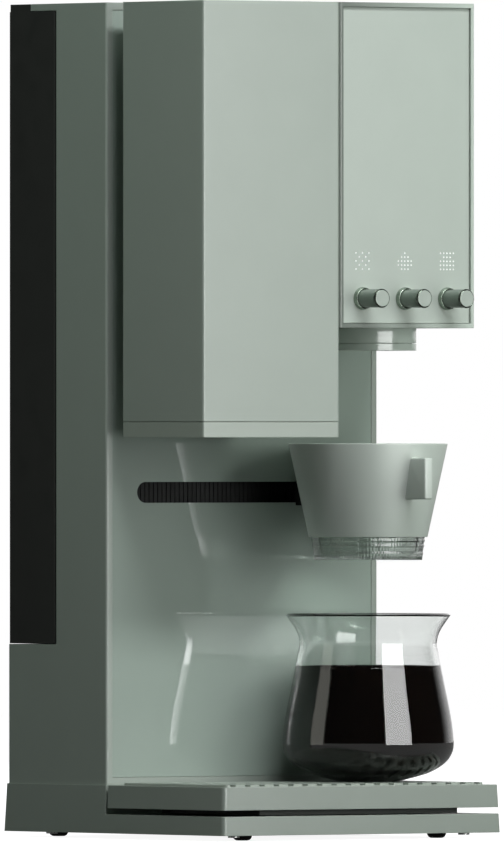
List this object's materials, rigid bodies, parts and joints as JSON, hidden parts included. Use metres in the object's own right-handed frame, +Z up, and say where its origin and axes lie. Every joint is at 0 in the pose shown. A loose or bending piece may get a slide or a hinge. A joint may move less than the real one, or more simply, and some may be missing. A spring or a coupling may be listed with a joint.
{
  "type": "pour-over coffee maker",
  "caption": "Upright pour-over coffee maker with a bean grinder, a brew head with push-and-turn knobs, a sliding dripper arm, a glass carafe on a scale and a rear water tank.",
  "frame": {"origin": "middle of the footprint, on the floor under the feet", "axes": "+Z up, front towards -Y, +X to the right seen from the front"},
  "size_m": [0.181, 0.1918, 0.4347],
  "materials": {
    "casing": "fine satin grey-green paint",
    "control_face": "smooth grey-green face",
    "back_panel": "glossy grey-green panel",
    "grille": "satin grey-green paint",
    "knob": "turned, grey-green anodised",
    "smoked_tank": "dark smoked plastic, satin outside",
    "black_plastic": "matt black",
    "belt": "ribbed black rubber",
    "feet": "matt black rubber",
    "holder": "satin grey-green plastic",
    "clear_plastic": "clear, ribbed",
    "carafe_glass": "clear glass",
    "coffee": "black coffee",
    "steel": "plain steel",
    "motor_can": "zinc-plated cans",
    "alloy": "machined alloy",
    "circuit": "green circuit board",
    "hose": "silicone hose",
    "cable": "black insulated wire"
  },
  "bodies": {
    "root": {"back_panel": "back_panel", "base_plate": "casing", "base_screws": "steel", "bean_hopper": "black_plastic", "belt_motor": "motor_can", "bottom_cover": "black_plastic", "burr_carrier": "black_plastic", "carriage_frame": "steel", "column_rear_cover": "black_plastic", "column_shell": "casing", "control_board": "circuit", "control_panel": "control_face", "feet": "feet", "flow_heater": "alloy", "grinder_cap": "casing", "grinder_motor": "motor_can", "grinder_shell": "casing", "grounds_chute": "black_plastic", "guide_rods": "steel", "head_shell": "casing", "inner_cables": "cable", "knob_collars": "casing", "knob_encoders": "circuit", "light_guides": "clear_plastic", "load_cell": "alloy", "main_board": "circuit", "module_neck": "casing", "nozzle_housing": "casing", "nozzle_ring": "casing", "outer_burr": "steel", "power_inlet": "black_plastic", "power_supply": "alloy", "pump": "motor_can", "rotor_motor": "motor_can", "scale_pedestal": "casing", "slot_belt": "belt", "water_hoses": "hose"},
    "carriage": {"carriage_block": "black_plastic", "carrier_arm": "black_plastic"},
    "dripper": {"dripper_sleeve": "holder"},
    "dripper_insert": {"dripper_insert": "clear_plastic"},
    "tray": {"scale_platform": "casing"},
    "grille": {"drip_grille": "grille"},
    "carafe": {"carafe_glass": "carafe_glass", "coffee": "coffee"},
    "tank": {"water_tank": "smoked_tank", "tank_valve": "black_plastic"},
    "tank_lid": {"tank_lid": "smoked_tank"},
    "hopper_lid": {"hopper_lid": "casing"},
    "burr": {"inner_burr": "steel", "grinder_shaft": "steel"},
    "spray_rotor": {"spray_rotor": "steel"},
    "belt_roller_1": {"belt_roller_1": "black_plastic"},
    "belt_roller_2": {"belt_roller_2": "black_plastic"},
    "knob_spindle_1": {"knob_spindle_1": "steel"},
    "knob_1": {"knob_1": "knob"},
    "knob_spindle_2": {"knob_spindle_2": "steel"},
    "knob_2": {"knob_2": "knob"},
    "knob_spindle_3": {"knob_spindle_3": "steel"},
    "knob_3": {"knob_3": "knob"}
  },
  "joints": [
    {"name": "carriage_slide", "type": "slide", "parent": "root", "child": "carriage", "axis": [1, 0, 0], "range_m": [-0.0896, 0]},
    {"name": "dripper_out", "type": "slide", "parent": "carriage", "child": "dripper", "axis": [0, -1, 0], "range_m": [0, 0.12]},
    {"name": "insert_lift", "type": "slide", "parent": "dripper", "child": "dripper_insert", "axis": [0, 0, 1], "range_m": [0, 0.045]},
    {"name": "tray_out", "type": "slide", "parent": "root", "child": "tray", "axis": [0, -1, 0], "range_m": [0, 0.12]},
    {"name": "grille_lift", "type": "slide", "parent": "tray", "child": "grille", "axis": [0, 0, 1], "range_m": [0, 0.012]},
    {"name": "carafe_out", "type": "slide", "parent": "grille", "child": "carafe", "axis": [0, -1, 0], "range_m": [0, 0.15]},
    {"name": "tank_out", "type": "slide", "parent": "root", "child": "tank", "axis": [0, 1, 0], "range_m": [0, 0.06]},
    {"name": "tank_lid_hinge", "type": "hinge", "parent": "tank", "child": "tank_lid", "pos_m": [0, 0.0762, 0.4329], "axis": [1, 0, 0], "range_deg": [0, 90]},
    {"name": "hopper_lid_hinge", "type": "hinge", "parent": "root", "child": "hopper_lid", "pos_m": [-0.04435, -0.0142, 0.4327], "axis": [-1, 0, 0], "range_deg": [0, 90]},
    {"name": "burr_spin", "type": "hinge", "parent": "root", "child": "burr", "pos_m": [-0.04435, -0.0409, 0.27], "axis": [0, 0, 1], "continuous": true},
    {"name": "spray_spin", "type": "hinge", "parent": "root", "child": "spray_rotor", "pos_m": [0.04525, -0.0409, 0.255], "axis": [0, 0, 1], "continuous": true},
    {"name": "belt_roller_1_spin", "type": "hinge", "parent": "root", "child": "belt_roller_1", "pos_m": [-0.0714, 0.0212, 0.18], "axis": [0, 0, 1], "range_deg": [-760, 20]},
    {"name": "belt_roller_2_spin", "type": "hinge", "parent": "root", "child": "belt_roller_2", "pos_m": [0.0714, 0.0212, 0.18], "axis": [0, 0, 1], "range_deg": [-760, 20]},
    {"name": "knob_1_turn", "type": "hinge", "parent": "root", "child": "knob_spindle_1", "pos_m": [0.0161, -0.0721, 0.2808], "axis": [0, -1, 0], "continuous": true},
    {"name": "knob_1_push", "type": "slide", "parent": "knob_spindle_1", "child": "knob_1", "axis": [0, 1, 0], "range_m": [0, 0.001], "stiffness_N_per_m": 1500},
    {"name": "knob_2_turn", "type": "hinge", "parent": "root", "child": "knob_spindle_2", "pos_m": [0.04375, -0.0721, 0.2808], "axis": [0, -1, 0], "continuous": true},
    {"name": "knob_2_push", "type": "slide", "parent": "knob_spindle_2", "child": "knob_2", "axis": [0, 1, 0], "range_m": [0, 0.001], "stiffness_N_per_m": 1500},
    {"name": "knob_3_turn", "type": "hinge", "parent": "root", "child": "knob_spindle_3", "pos_m": [0.0714, -0.0721, 0.2808], "axis": [0, -1, 0], "continuous": true},
    {"name": "knob_3_push", "type": "slide", "parent": "knob_spindle_3", "child": "knob_3", "axis": [0, 1, 0], "range_m": [0, 0.001], "stiffness_N_per_m": 1500}
  ],
  "couplings": [
    {"joint": "belt_roller_1_spin", "follows": "carriage_slide", "rad_per_m": 144.93},
    {"joint": "belt_roller_2_spin", "follows": "carriage_slide", "rad_per_m": 144.93}
  ]
}
